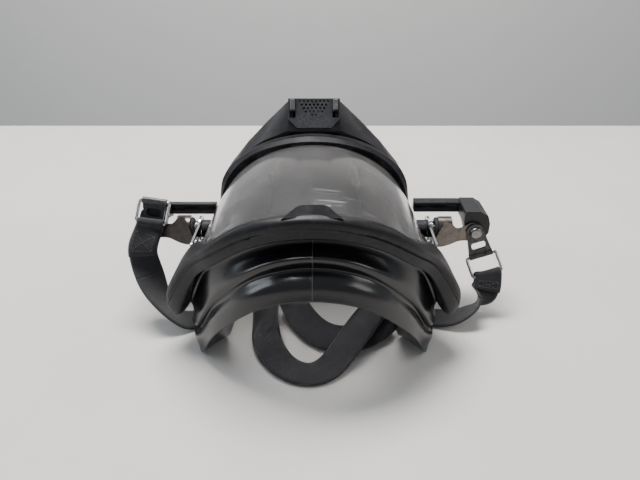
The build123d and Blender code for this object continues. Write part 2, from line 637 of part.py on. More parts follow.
# ---- webbing ------------------------------------------------------------
STRAP_LEFT = [((-111.5, -12, 60), (1, 0.05, 0.14)), ((-116, -16.5, 47), (0.97, 0.15, 0.2)),
              ((-113, -21, 34.5), (0.9, 0.35, 0.1)), ((-107.5, -28.5, 24), (0.6, 0.75, -0.1)),
              ((-101, -35, 15.5), (0.25, 0.9, -0.28)), ((-94.5, -37.5, 8.4), (0.05, 0.93, -0.28)),
              ((-87, -36.5, 3.2), (0, 1, -0.05)), ((-78, -33, 1.4), (0, 1, 0)), ((-64, -30, 1.2), (-0.1, 1, 0))]
STRAP_RIGHT = [((120.3, -19.6, 24), (0.94, 0.02, 0.34)), ((118, -22.5, 18), (0.9, 0.25, 0.25)),
               ((112.5, -27.5, 12), (0.6, 0.78, 0)), ((104.5, -32.5, 7.6), (0.25, 0.95, -0.15)),
               ((95, -34, 3.6), (0.05, 1, -0.1)), ((83, -32, 1.6), (0, 1, 0)), ((64, -28, 1.2), (0.1, 1, 0))]
HARNESS_FRONT = [((-33, -26, 13), (1, -0.1, 0.25)), ((-32.5, -44, 7), (0.9, 0, 0.4)),
                 ((-29, -62, 3.4), (0.93, 0.25, 0.12)), ((-18, -79, 1.5), (0.6, 0.8, 0)),
                 ((-3, -86, 1.3), (0.05, 1, 0)), ((11, -79.5, 2.8), (-0.55, 0.83, 0.05)),
                 ((24, -64, 10), (-0.68, 0.72, 0.1)), ((33, -51, 14), (-0.72, 0.68, 0.08)),
                 ((42, -38, 16), (-0.72, 0.68, 0.05))]
HARNESS_REAR = [((-16, -22, 11.5), (0.6, 0.6, 0.35)), ((-10, -37, 9.5), (0.55, 0.7, 0.45)),
                ((1, -51.5, 6.5), (0.35, 0.85, 0.42)), ((15, -58.5, 5.4), (0.05, 0.9, 0.42)),
                ((29, -57, 6), (-0.2, 0.88, 0.4)), ((41, -51, 8.5), (-0.42, 0.8, 0.4)),
                ((48, -43.5, 10), (-0.5, 0.7, 0.4))]
for name, path in (("strap_left", STRAP_LEFT), ("strap_right", STRAP_RIGHT),
                   ("harness_strap_front", HARNESS_FRONT), ("harness_strap_rear", HARNESS_REAR)):
    with BuildPart() as web:
        add(ribbon(path))
    save(web.part, name)
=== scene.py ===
import bpy, bmesh, json, math
import numpy as np
from mathutils import Vector
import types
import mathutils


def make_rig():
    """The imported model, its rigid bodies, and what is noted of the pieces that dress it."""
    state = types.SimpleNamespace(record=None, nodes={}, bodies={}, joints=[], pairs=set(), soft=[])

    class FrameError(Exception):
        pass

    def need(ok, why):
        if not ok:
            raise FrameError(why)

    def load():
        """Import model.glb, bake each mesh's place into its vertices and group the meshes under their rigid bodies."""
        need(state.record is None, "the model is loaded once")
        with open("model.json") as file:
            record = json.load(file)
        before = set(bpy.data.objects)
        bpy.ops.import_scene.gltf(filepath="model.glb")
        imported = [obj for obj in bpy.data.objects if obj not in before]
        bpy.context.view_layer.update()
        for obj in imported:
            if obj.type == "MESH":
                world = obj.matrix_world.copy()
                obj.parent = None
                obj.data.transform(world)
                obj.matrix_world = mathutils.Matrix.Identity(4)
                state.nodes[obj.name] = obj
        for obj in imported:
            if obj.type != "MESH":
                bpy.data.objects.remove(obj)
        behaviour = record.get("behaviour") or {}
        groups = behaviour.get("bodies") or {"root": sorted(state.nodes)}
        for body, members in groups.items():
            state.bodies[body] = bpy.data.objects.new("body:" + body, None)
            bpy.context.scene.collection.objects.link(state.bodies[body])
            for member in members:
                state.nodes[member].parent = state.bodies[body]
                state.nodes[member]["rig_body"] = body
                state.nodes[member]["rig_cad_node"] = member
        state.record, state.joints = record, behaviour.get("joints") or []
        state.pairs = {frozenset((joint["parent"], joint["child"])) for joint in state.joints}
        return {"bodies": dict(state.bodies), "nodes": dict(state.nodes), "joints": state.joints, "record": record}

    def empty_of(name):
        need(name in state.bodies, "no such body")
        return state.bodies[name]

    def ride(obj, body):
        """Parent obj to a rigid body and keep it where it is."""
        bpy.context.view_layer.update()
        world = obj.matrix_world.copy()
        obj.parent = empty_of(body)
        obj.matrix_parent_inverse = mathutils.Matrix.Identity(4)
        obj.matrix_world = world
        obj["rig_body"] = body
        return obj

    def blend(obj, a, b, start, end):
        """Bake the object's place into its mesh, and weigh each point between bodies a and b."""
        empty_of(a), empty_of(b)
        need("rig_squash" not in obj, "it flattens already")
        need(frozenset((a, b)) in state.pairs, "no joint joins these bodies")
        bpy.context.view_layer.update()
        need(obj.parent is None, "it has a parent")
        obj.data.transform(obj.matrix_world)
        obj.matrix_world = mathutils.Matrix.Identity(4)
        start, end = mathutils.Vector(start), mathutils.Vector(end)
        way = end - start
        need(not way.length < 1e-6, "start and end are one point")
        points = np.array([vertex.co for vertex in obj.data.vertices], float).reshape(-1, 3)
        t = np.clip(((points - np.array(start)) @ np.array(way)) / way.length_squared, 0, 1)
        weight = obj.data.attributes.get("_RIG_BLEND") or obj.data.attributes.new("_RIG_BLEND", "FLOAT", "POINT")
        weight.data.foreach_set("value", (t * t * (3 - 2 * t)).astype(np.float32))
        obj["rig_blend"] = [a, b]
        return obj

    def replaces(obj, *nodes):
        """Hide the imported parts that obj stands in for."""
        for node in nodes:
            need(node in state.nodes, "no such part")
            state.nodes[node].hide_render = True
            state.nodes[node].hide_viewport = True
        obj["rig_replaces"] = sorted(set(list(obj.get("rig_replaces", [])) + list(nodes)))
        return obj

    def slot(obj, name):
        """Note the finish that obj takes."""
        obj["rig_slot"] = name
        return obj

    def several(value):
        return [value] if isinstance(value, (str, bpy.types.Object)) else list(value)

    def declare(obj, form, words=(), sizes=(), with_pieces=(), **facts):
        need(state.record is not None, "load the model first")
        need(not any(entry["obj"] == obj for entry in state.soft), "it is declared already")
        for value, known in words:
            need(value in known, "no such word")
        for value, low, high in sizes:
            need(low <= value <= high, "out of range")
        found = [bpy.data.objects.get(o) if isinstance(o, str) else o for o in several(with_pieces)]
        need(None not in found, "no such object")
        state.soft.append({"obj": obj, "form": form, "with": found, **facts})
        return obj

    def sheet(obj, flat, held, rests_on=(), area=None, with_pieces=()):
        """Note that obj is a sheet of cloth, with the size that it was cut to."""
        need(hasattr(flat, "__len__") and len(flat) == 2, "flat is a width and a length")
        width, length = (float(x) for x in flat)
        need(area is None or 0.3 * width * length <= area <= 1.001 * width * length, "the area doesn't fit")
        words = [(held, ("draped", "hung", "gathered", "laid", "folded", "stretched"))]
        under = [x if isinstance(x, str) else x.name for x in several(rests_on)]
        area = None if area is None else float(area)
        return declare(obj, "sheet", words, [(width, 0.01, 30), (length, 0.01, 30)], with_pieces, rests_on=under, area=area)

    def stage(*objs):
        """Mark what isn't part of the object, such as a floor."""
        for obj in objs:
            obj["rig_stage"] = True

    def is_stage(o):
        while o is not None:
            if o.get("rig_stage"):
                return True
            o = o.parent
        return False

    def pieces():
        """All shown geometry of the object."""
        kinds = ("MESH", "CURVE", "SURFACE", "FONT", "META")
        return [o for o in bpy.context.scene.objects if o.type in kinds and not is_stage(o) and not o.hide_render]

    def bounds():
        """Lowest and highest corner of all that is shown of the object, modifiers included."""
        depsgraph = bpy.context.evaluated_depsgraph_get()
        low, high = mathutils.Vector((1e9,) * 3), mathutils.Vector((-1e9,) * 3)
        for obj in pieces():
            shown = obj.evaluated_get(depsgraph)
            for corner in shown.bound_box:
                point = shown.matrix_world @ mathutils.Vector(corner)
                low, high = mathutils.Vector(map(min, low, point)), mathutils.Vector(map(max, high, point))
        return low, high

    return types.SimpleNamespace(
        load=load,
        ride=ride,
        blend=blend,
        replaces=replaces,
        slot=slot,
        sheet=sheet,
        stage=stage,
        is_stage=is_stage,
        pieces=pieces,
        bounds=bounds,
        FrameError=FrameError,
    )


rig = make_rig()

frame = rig.load()
cad_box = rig.bounds()
NODES = frame["nodes"]

# Shapes are written in millimetres with the mask's own middle plane at x = 0; SHIFT carries them to the frame.
SHIFT = np.array((-2.53, -2.0, 0.25))


def to_m(p):
    return (np.asarray(p, float) + SHIFT) / 1000


# ------------------------------------------------------------------ camera, light, floor
cam_data = bpy.data.cameras.new("view")
cam_data.lens = 29.25
cam = bpy.data.objects.new("view", cam_data)
bpy.context.scene.collection.objects.link(cam)
cam.location = to_m((4.0, -316.9, 228.0))
cam.rotation_euler = (math.radians(60), 0, 0)
cam_data.clip_start = 0.01
bpy.context.scene.camera = cam


def stage_plane(name, size, loc, rot=(0, 0, 0)):
    mesh = bpy.data.meshes.new(name)
    a, b = size[0] / 2, size[1] / 2
    mesh.from_pydata([(-a, -b, 0), (a, -b, 0), (a, b, 0), (-a, b, 0)], [], [(0, 1, 2, 3)])
    obj = bpy.data.objects.new(name, mesh)
    bpy.context.scene.collection.objects.link(obj)
    obj.location, obj.rotation_euler = loc, rot
    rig.stage(obj)
    return obj


def area(name, loc, target, size, power, color=(1, 1, 1)):
    data = bpy.data.lights.new(name, "AREA")
    data.shape = "RECTANGLE"
    data.size, data.size_y = size
    data.energy, data.color = power, color
    obj = bpy.data.objects.new(name, data)
    bpy.context.scene.collection.objects.link(obj)
    obj.location = loc
    obj.rotation_euler = (Vector(target) - Vector(loc)).to_track_quat("-Z", "Y").to_euler()
    return obj


# ------------------------------------------------------------------ material helpers
class Mat:
    """A Principled material with small helpers for its node tree."""

    def __init__(self, name, color, rough=0.5, metal=0.0, spec=0.5, **sockets):
        self.m = bpy.data.materials.new(name)
        self.m.use_nodes = True
        self.t = self.m.node_tree
        self.b = self.t.nodes["Principled BSDF"]
        self.b.inputs["Base Color"].default_value = (*color, 1)
        self.b.inputs["Roughness"].default_value = rough
        self.b.inputs["Metallic"].default_value = metal
        self.b.inputs["Specular IOR Level"].default_value = spec
        for k, v in sockets.items():
            self.b.inputs[k.replace("_", " ")].default_value = v
        self.color = color

    def node(self, kind, **props):
        n = self.t.nodes.new(kind)
        for k, v in props.items():
            setattr(n, k, v)
        return n

    def link(self, a, b):
        self.t.links.new(a, b)
        return b

    def where(self, scale=(1, 1, 1), rot=(0, 0, 0)):
        tc = self.node("ShaderNodeTexCoord")
        mp = self.node("ShaderNodeMapping")
        mp.inputs["Scale"].default_value = scale
        mp.inputs["Rotation"].default_value = rot
        self.link(tc.outputs["Object"], mp.inputs["Vector"])
        return mp.outputs["Vector"]

    def noise(self, scale, detail=4, rough=0.55, vec=None):
        n = self.node("ShaderNodeTexNoise")
        n.inputs["Scale"].default_value = scale
        n.inputs["Detail"].default_value = detail
        n.inputs["Roughness"].default_value = rough
        self.link(vec if vec is not None else self.where(), n.inputs["Vector"])
        return n.outputs["Fac"]

    def ramp(self, fac, stops):
        r = self.node("ShaderNodeValToRGB")
        while len(r.color_ramp.elements) < len(stops):
            r.color_ramp.elements.new(0.5)
        for e, (p, c) in zip(r.color_ramp.elements, stops):
            e.position = p
            e.color = (*c, 1) if hasattr(c, "__len__") else (c, c, c, 1)
        self.link(fac, r.inputs["Fac"])
        return r.outputs["Color"]

    def math(self, op, a, b=None, clamp=False):
        n = self.node("ShaderNodeMath", operation=op, use_clamp=clamp)
        for i, v in enumerate((a, b)):
            if v is None:
                continue
            if isinstance(v, (int, float)):
                n.inputs[i].default_value = v
            else:
                self.link(v, n.inputs[i])
        return n.outputs[0]

    def mix(self, fac, a, b):
        n = self.node("ShaderNodeMix", data_type="RGBA")
        for i, v in ((0, fac), (6, a), (7, b)):
            if isinstance(v, (int, float)):
                n.inputs[i].default_value = v
            elif isinstance(v, tuple):
                n.inputs[i].default_value = (*v, 1) if len(v) == 3 else v
            else:
                self.link(v, n.inputs[i])
        return n.outputs[2]

    def bump(self, height, dist, strength=1.0):
        n = self.node("ShaderNodeBump")
        n.inputs["Distance"].default_value = dist
        n.inputs["Strength"].default_value = strength
        self.link(height, n.inputs["Height"])
        if self.b.inputs["Normal"].is_linked:
            self.link(self.b.inputs["Normal"].links[0].from_socket, n.inputs["Normal"])
        self.link(n.outputs["Normal"], self.b.inputs["Normal"])
        return self

    def set(self, socket, out):
        self.link(out, self.b.inputs[socket])
        return self

    def edge_wear(self, wear, amount):
        """Lighter rubbed edges, from the geometry's own pointiness."""
        geo = self.node("ShaderNodeNewGeometry")
        edge = self.ramp(geo.outputs["Pointiness"], [(0.53, 0), (0.62, 1)])
        spots = self.ramp(self.noise(900, 4), [(0.35, 0.15), (0.65, 1)])
        f = self.math("MULTIPLY", self.math("MULTIPLY", edge, spots), amount)
        src = self.b.inputs["Base Color"]
        base = src.links[0].from_socket if src.is_linked else self.color
        self.set("Base Color", self.mix(f, base, wear))
        return self


def shade(obj, material, smooth=True):
    obj.data.materials.clear()
    obj.data.materials.append(material)
    obj.data.polygons.foreach_set("use_smooth", [smooth] * len(obj.data.polygons))
    return obj


# ------------------------------------------------------------------ mesh helpers
def spline(points, n, closed=False):
    """n points along a smooth cubic through the keys (n per whole curve)."""
    p = np.asarray(points, float)
    m = len(p)
    count = m if closed else m - 1
    idx = np.arange(m)
    if closed:
        a = np.zeros((m, m))
        for i in idx:
            a[i, i], a[i, (i - 1) % m], a[i, (i + 1) % m] = 4, 1, 1
        d = np.linalg.solve(a, 3 * (np.roll(p, -1, 0) - np.roll(p, 1, 0)))
    else:
        a = np.zeros((m, m))
        r = np.zeros_like(p)
        a[0, 0], a[0, 1], r[0] = 2, 1, 3 * (p[1] - p[0])
        a[-1, -1], a[-1, -2], r[-1] = 2, 1, 3 * (p[-1] - p[-2])
        for i in range(1, m - 1):
            a[i, i - 1], a[i, i], a[i, i + 1] = 1, 4, 1
            r[i] = 3 * (p[i + 1] - p[i - 1])
        d = np.linalg.solve(a, r)
    t = np.linspace(0, count, n, endpoint=not closed)
    i = np.minimum(t.astype(int), count - 1)
    f = (t - i)[:, None]
    j = (i + 1) % m
    h00, h10 = 2 * f**3 - 3 * f**2 + 1, f**3 - 2 * f**2 + f
    h01, h11 = -2 * f**3 + 3 * f**2, f**3 - f**2
    return h00 * p[i] + h10 * d[i] + h01 * p[j] + h11 * d[j]


def both(keys):
    return list(keys) + [(-x, y, z) for x, y, z in reversed(keys[1:-1])]


def inset(keys, d, dz=0.0):
    """Keys moved toward the middle of the face by d (one number, or one for each key) and up by dz."""
    out = []
    for k, (x, y, z) in enumerate(keys):
        r = math.hypot(x, y)
        step = d[k] if isinstance(d, list) else d
        out.append((x - step * x / r, y - step * y / r, z + dz))
    return out


def raw_mesh(name, verts, faces, material=None, uvs=None):
    mesh = bpy.data.meshes.new(name)
    mesh.from_pydata([tuple(v) for v in to_m(verts)], [], faces)
    mesh.validate()
    obj = bpy.data.objects.new(name, mesh)
    bpy.context.scene.collection.objects.link(obj)
    if uvs is not None:
        layer = mesh.uv_layers.new(name="UVMap")
        loop_v = np.empty(len(mesh.loops), int)
        mesh.loops.foreach_get("vertex_index", loop_v)
        layer.data.foreach_set("uv", np.asarray(uvs, float)[loop_v].ravel())
    bm = bmesh.new()
    bm.from_mesh(mesh)
    bmesh.ops.recalc_face_normals(bm, faces=bm.faces)
    bm.to_mesh(mesh)
    bm.free()
    if material:
        shade(obj, material)
    return obj


def grid(name, rows, closed_u=False, closed_v=False, material=None, caps=False, uvs=None):
    """Quad mesh over rows[r][c]; closed_u joins the last column to the first, closed_v the last row."""
    rows = np.asarray(rows, float)
    nr, nc = rows.shape[:2]
    faces = []
    for r in range(nr if closed_v else nr - 1):
        for c in range(nc if closed_u else nc - 1):
            r2, c2 = (r + 1) % nr, (c + 1) % nc
            faces.append((r * nc + c, r * nc + c2, r2 * nc + c2, r2 * nc + c))
    if caps and closed_u:
        faces.append(tuple(range(nc)))
        faces.append(tuple((nr - 1) * nc + k for k in range(nc)))
    if caps and closed_v:
        faces.append(tuple(r * nc for r in range(nr)))
        faces.append(tuple(r * nc + nc - 1 for r in range(nr)))
    return raw_mesh(name, rows.reshape(-1, 3), faces, material, uvs)


def bevel(obj, width, segments=2, angle=35):
    mod = obj.modifiers.new("edges", "BEVEL")
    mod.width, mod.segments = width / 1000, segments
    mod.limit_method, mod.angle_limit = "ANGLE", math.radians(angle)
    mod.harden_normals = True
    return obj


def own(obj, body, slot, *nodes):
    """Put a piece on its body and slot, and let it stand for its CAD nodes."""
    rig.ride(obj, body)
    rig.slot(obj, slot)
    if nodes:
        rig.replaces(obj, *nodes)
    return obj


# ------------------------------------------------------------------ materials
def scuffs(mat, base, light, amount):
    """Faint rubbed patches that lighten the colour."""
    patch = mat.ramp(mat.noise(260, 6, 0.65), [(0.5, 0), (0.72, amount)])
    mat.set("Base Color", mat.mix(patch, base, light))
    return mat


def dust(mat, light, density=0.6, size=1500):
    """Small pale specks of dust."""
    cells = mat.node("ShaderNodeTexVoronoi", feature="F1")
    cells.inputs["Scale"].default_value = size
    mat.link(mat.where(), cells.inputs["Vector"])
    speck = mat.ramp(cells.outputs["Distance"], [(0.07, 1), (0.14, 0)])
    some = mat.ramp(mat.noise(120, 4), [(0.62 - 0.1 * density, 0), (0.8, 0.6)])
    src = mat.b.inputs["Base Color"]
    base = src.links[0].from_socket if src.is_linked else mat.color
    mat.set("Base Color", mat.mix(mat.math("MULTIPLY", speck, some), base, light))
    return mat


def rubber_material(name, color=(0.0045, 0.0045, 0.006), rough=(0.2, 0.36), speck=0.45):
    """Moulded rubber: uneven gloss between the two roughness values, rubbed patches and dust."""
    mat = Mat(name, color, 0.3, spec=0.5)
    scuffs(mat, color, (0.010, 0.010, 0.012), 0.6)
    dust(mat, (0.22, 0.22, 0.22), speck)
    low, high = rough
    mat.set("Roughness", mat.ramp(mat.noise(70, 6, 0.6), [(0.3, low), (0.75, high)]))
    mat.bump(mat.noise(900, 3), 0.00012, 0.35)
    mat.bump(mat.noise(60, 3), 0.0004, 0.25)
    return mat.m


def plastic_material(name, color, rough, wear=(0.10, 0.10, 0.11), grain=2200, pits=0.25, spec=0.4):
    """Moulded plastic: fine grain, rubbed patches, lighter worn edges."""
    mat = Mat(name, color, rough, spec=spec)
    light = tuple(min(1, c * 2.2 + 0.01) for c in color)
    scuffs(mat, color, light, 0.55)
    mat.edge_wear(wear, 0.7)
    dust(mat, (0.3, 0.3, 0.3), 0.35, 1900)
    mat.set("Roughness", mat.ramp(mat.noise(110, 6, 0.6), [(0.3, rough - 0.07), (0.75, rough + 0.1)]))
    mat.bump(mat.noise(grain, 2), 0.00006, pits)
    return mat.m


def metal_material(name, color, rough, brushed=(1, 1, 1), amount=0.12, tarnish=(0.3, 0.28, 0.26)):
    """Metal with fine brushing along one way, uneven gloss and tarnished patches."""
    mat = Mat(name, color, rough, metal=1.0)
    lines = mat.noise(1600, 3, 0.6, mat.where(brushed))
    stain = mat.ramp(mat.noise(240, 6, 0.65), [(0.45, 0), (0.75, 0.65)])
    mat.set("Base Color", mat.mix(stain, color, tarnish))
    mat.set("Roughness", mat.math("ADD", mat.math("MULTIPLY", lines, amount * 2), max(rough - amount, 0.02)))
    mat.bump(lines, 0.00003, 0.4)
    return mat.m


def lens_material():
    """Smoked clear plastic: a thin even haze, a softer bloom and hairline scratches."""
    mat = Mat("lens_smoked", (0.74, 0.73, 0.73), 0.08, spec=0.5, Transmission_Weight=0.93, IOR=1.2)
    lines = None
    for turn, length, scale, cut in ((0.62, 0.06, 420, 0.745), (-0.5, 0.06, 520, 0.75),
                                     (1.9, 0.06, 520, 0.75), (1.15, 0.06, 460, 0.75)):
        vec = mat.where((length, 1, length), (0, 0, turn))
        streak = mat.ramp(mat.noise(scale, 1, 0.4, vec), [(cut, 0), (cut + 0.02, 1)])
        lines = streak if lines is None else mat.math("MAXIMUM", lines, streak)
    bloom = mat.ramp(mat.noise(16, 3, 0.5), [(0.3, 0), (0.8, 1)])
    haze = mat.math("ADD", mat.math("MULTIPLY", bloom, 0.05), mat.math("MULTIPLY", lines, 0.2))
    mat.set("Transmission Weight", mat.math("SUBTRACT", 0.95, haze, True))
    mat.set("Roughness", mat.math("ADD", mat.math("MULTIPLY", bloom, 0.05), 0.05))
    return mat.m


def webbing_material():
    """Woven polyester webbing: ribs along it and picks across it. UV is in millimetres."""
    thread, color = 0.8, (0.010, 0.010, 0.012)
    mat = Mat("webbing", color, 0.78, spec=0.25, Sheen_Weight=0.25, Sheen_Roughness=0.5)
    uv = mat.node("ShaderNodeTexCoord").outputs["UV"]
    split = mat.node("ShaderNodeSeparateXYZ")
    mat.link(uv, split.inputs[0])
    u, v = split.outputs[0], split.outputs[1]
    turn = 2 * math.pi
    along = mat.math("SINE", mat.math("MULTIPLY", v, turn / (2 * thread)))
    shift = mat.math("MULTIPLY", mat.math("SIGN", along), math.pi / 2)
    across = mat.math("SINE", mat.math("ADD", mat.math("MULTIPLY", u, turn / (1.6 * thread)), shift))
    ribs = mat.math("ABSOLUTE", along)
    picks = mat.math("ADD", mat.math("MULTIPLY", across, 0.5), 0.5)
    weave = mat.math("MULTIPLY", ribs, mat.math("ADD", mat.math("MULTIPLY", picks, 0.7), 0.3))
    fuzz = mat.noise(1300, 4)
    light = tuple(c * 4 + 0.02 for c in color)
    fade = mat.ramp(mat.noise(140, 5), [(0.4, 0), (0.8, 0.6)])
    tone = mat.mix(mat.math("MULTIPLY", weave, mat.math("ADD", fade, 0.4)), color, light)
    mat.set("Base Color", tone)
    dust(mat, (0.25, 0.25, 0.25), 0.4)
    mat.set("Roughness", mat.ramp(fuzz, [(0.3, 0.68), (0.7, 0.9)]))
    mat.bump(weave, 0.00022, 0.9)
    mat.bump(fuzz, 0.00008, 0.4)
    return mat.m


def film_material():
    mat = Mat("diaphragm_film", (0.5, 0.5, 0.5), 0.3, metal=1.0)
    mat.set("Roughness", mat.ramp(mat.noise(400, 4), [(0.3, 0.22), (0.7, 0.4)]))
    return mat.m


def floor_material():
    mat = Mat("table_top", (0.66, 0.645, 0.62), 0.55, spec=0.3)
    mat.set("Base Color", mat.mix(mat.ramp(mat.noise(9, 5), [(0.3, 0), (0.7, 1)]), (0.64, 0.62, 0.595),
                                  (0.68, 0.66, 0.64)))
    mat.set("Roughness", mat.ramp(mat.noise(30, 4), [(0.3, 0.5), (0.7, 0.62)]))
    return mat.m


def wall_material():
    mat = Mat("wall_paint", (0.66, 0.655, 0.64), 0.9, spec=0.1)
    mat.set("Base Color", mat.mix(mat.ramp(mat.noise(3, 4), [(0.3, 0), (0.7, 1)]), (0.65, 0.645, 0.63),
                                  (0.67, 0.665, 0.65)))
    return mat.m


MATERIALS = {
    "rubber": rubber_material("moulded_rubber", rough=(0.16, 0.28)),
    "lens": lens_material(),
    "frame": plastic_material("frame_plastic", (0.008, 0.008, 0.010), 0.44, spec=0.28),
    "rim": plastic_material("rim_plastic", (0.005, 0.005, 0.007), 0.46, pits=0.1, spec=0.12),
    "brow_tab": plastic_material("brow_tab_plastic", (0.006, 0.006, 0.008), 0.6, spec=0.08),
    "cover": plastic_material("cover_plastic", (0.014, 0.0135, 0.016), 0.42, grain=3000),
    "grille": plastic_material("grille_plastic", (0.013, 0.0135, 0.016), 0.45, grain=3000),
    "latch": plastic_material("latch_plastic", (0.10, 0.10, 0.105), 0.4),
    "port": plastic_material("port_plastic", (0.018, 0.018, 0.021), 0.4),
    "silicone": rubber_material("valve_silicone", (0.10, 0.10, 0.105), (0.45, 0.6), 0.2),
    "film": film_material(),
    # the part-line beads take a rubber ten times lighter than the skirt: a painted highlight along the ridge
    "seam": rubber_material("seam_rubber", (0.045, 0.046, 0.05), (0.3, 0.4), 0.2),
    "cup": rubber_material("cup_rubber", (0.02, 0.02, 0.023), (0.45, 0.6), 0.3),
    "chrome": metal_material("polished_chrome", (0.62, 0.62, 0.63), 0.16, (1, 0.1, 1), 0.08, (0.4, 0.39, 0.38)),
    "plate_steel": metal_material("dark_plate_steel", (0.15, 0.13, 0.12), 0.3, (0.1, 1, 1), 0.1, (0.05, 0.04, 0.037)),
    "rivet_steel": metal_material("rivet_steel", (0.24, 0.23, 0.22), 0.3, (1, 1, 1), 0.1, (0.12, 0.11, 0.10)),
    "spring_steel": metal_material("spring_steel", (0.5, 0.5, 0.5), 0.25),
    "arm": plastic_material("arm_plastic", (0.008, 0.008, 0.010), 0.4, wear=(0.03, 0.03, 0.033), spec=0.3),
    "sleeve": plastic_material("sleeve_rubber", (0.022, 0.021, 0.023), 0.62, pits=0.6, spec=0.3),
    "tab": plastic_material("tab_enamel", (0.011, 0.011, 0.013), 0.3, wear=(0.12, 0.12, 0.12)),
    "webbing": webbing_material(),
    "thread": rubber_material("waxed_thread", (0.05, 0.05, 0.055), (0.5, 0.6), 0.1),
}

for part in frame["record"]["subparts"]:
    shade(NODES[part["node"]], MATERIALS[part["material_slot"]], smooth=False)


def soften(width, *nodes, segments=2, angle=30):
    """Rounded moulded edges on carried-over CAD nodes."""
    for node in nodes:
        shade(NODES[node], NODES[node].data.materials[0])
        bevel(NODES[node], width, segments, angle)


def pair(name):
    return f"{name}_left", f"{name}_right"


soften(0.9, "lens_frame_lower", segments=3)
soften(1.4, "front_cover", segments=3, angle=12)
soften(0.35, "grille_panel", *pair("cover_latch"), "regulator_port", *pair("swivel_stud"))
soften(0.25, *pair("side_plate"), *pair("strap_tab"), *pair("spring_plate"), *pair("frame_screw"))
soften(0.5, *pair("arm_end_block"), "exhalation_seat", "exhalation_cover")
soften(0.2, *pair("rivet"), *pair("frame_nut"), *pair("nose_valve_seat"), "port_gasket")
for name in (*pair("strap_ring"), "nose_cup", *pair("swivel_spring"), "exhalation_spring"):
    shade(NODES[name], NODES[name].data.materials[0])

# ------------------------------------------------------------------ face blank
ROOT = [(0, -76.5, 95), (20, -75.5, 92.5), (39.5, -71.5, 84), (57, -64.5, 71.5), (69, -57.5, 57),
        (80, -49, 33), (75, -28, 37), (72, -8, 41), (70.5, 9, 44), (66.5, 26, 60), (57.5, 58, 69),
        (42, 77, 69), (0, 89.5, 69)]
RECESS = [(0, -76.5, 88), (20, -75.5, 85.5), (39, -71.5, 77), (56, -65, 64.5), (67.5, -58.5, 50),
          (77.5, -49, 24), (74.5, -29, 28), (71, -8, 34), (69.5, 9, 37), (66, 27, 50),
          (57, 59, 61), (42, 79, 61), (0, 93, 61)]
RIDGE = [(0, -88, 84), (20, -86.5, 80.5), (37, -81.5, 70), (52, -74, 54.5), (63, -68, 39),
         (76, -57, 16), (80, -34, 18), (77, -8, 24), (74, 12, 26), (69, 34, 36), (59, 63, 44),
         (44, 83, 46), (0, 100, 48)]
VALLEY = [(0, -86, 76.5), (20, -85, 73), (37, -80.5, 63), (52, -73.5, 47.5), (62.5, -67, 32.5),
          (73.5, -55.5, 12), (77, -34, 14), (74, -8, 18), (71, 13, 20), (66, 36, 29), (57, 64, 36),
          (43, 82, 39), (0, 97, 41)]
BULGE = [(0, -94, 71), (20, -92.5, 67.5), (37, -87.5, 57), (52, -80, 41), (63, -73.5, 26),
         (75, -60.5, 8.5), (79, -36, 10.5), (77, -8, 14), (74, 14, 14), (68, 38, 19), (58, 66, 27),
         (44, 84, 31), (0, 98, 34)]
LIP = [(0, -96, 62.5), (20, -94.5, 59), (37, -90, 49), (52, -83.5, 34), (63, -77, 18.5),
       (72, -65, 0.8), (76, -38, 5), (73, -8, 8), (70, 16, 6), (64.5, 38, 0.8), (56, 64, 16),
       (42, 80, 24), (0, 93, 27)]
RUBBER_T = 2.8
FLAP = [12, 13, 17, 20, 21, 21, 18, 15, 13, 13, 13, 13, 13]
AROUND = 560


def ring(keys):
    return spline(both(keys), AROUND, closed=True)


def toward(a, b, t):
    return a * (1 - t) + b * t


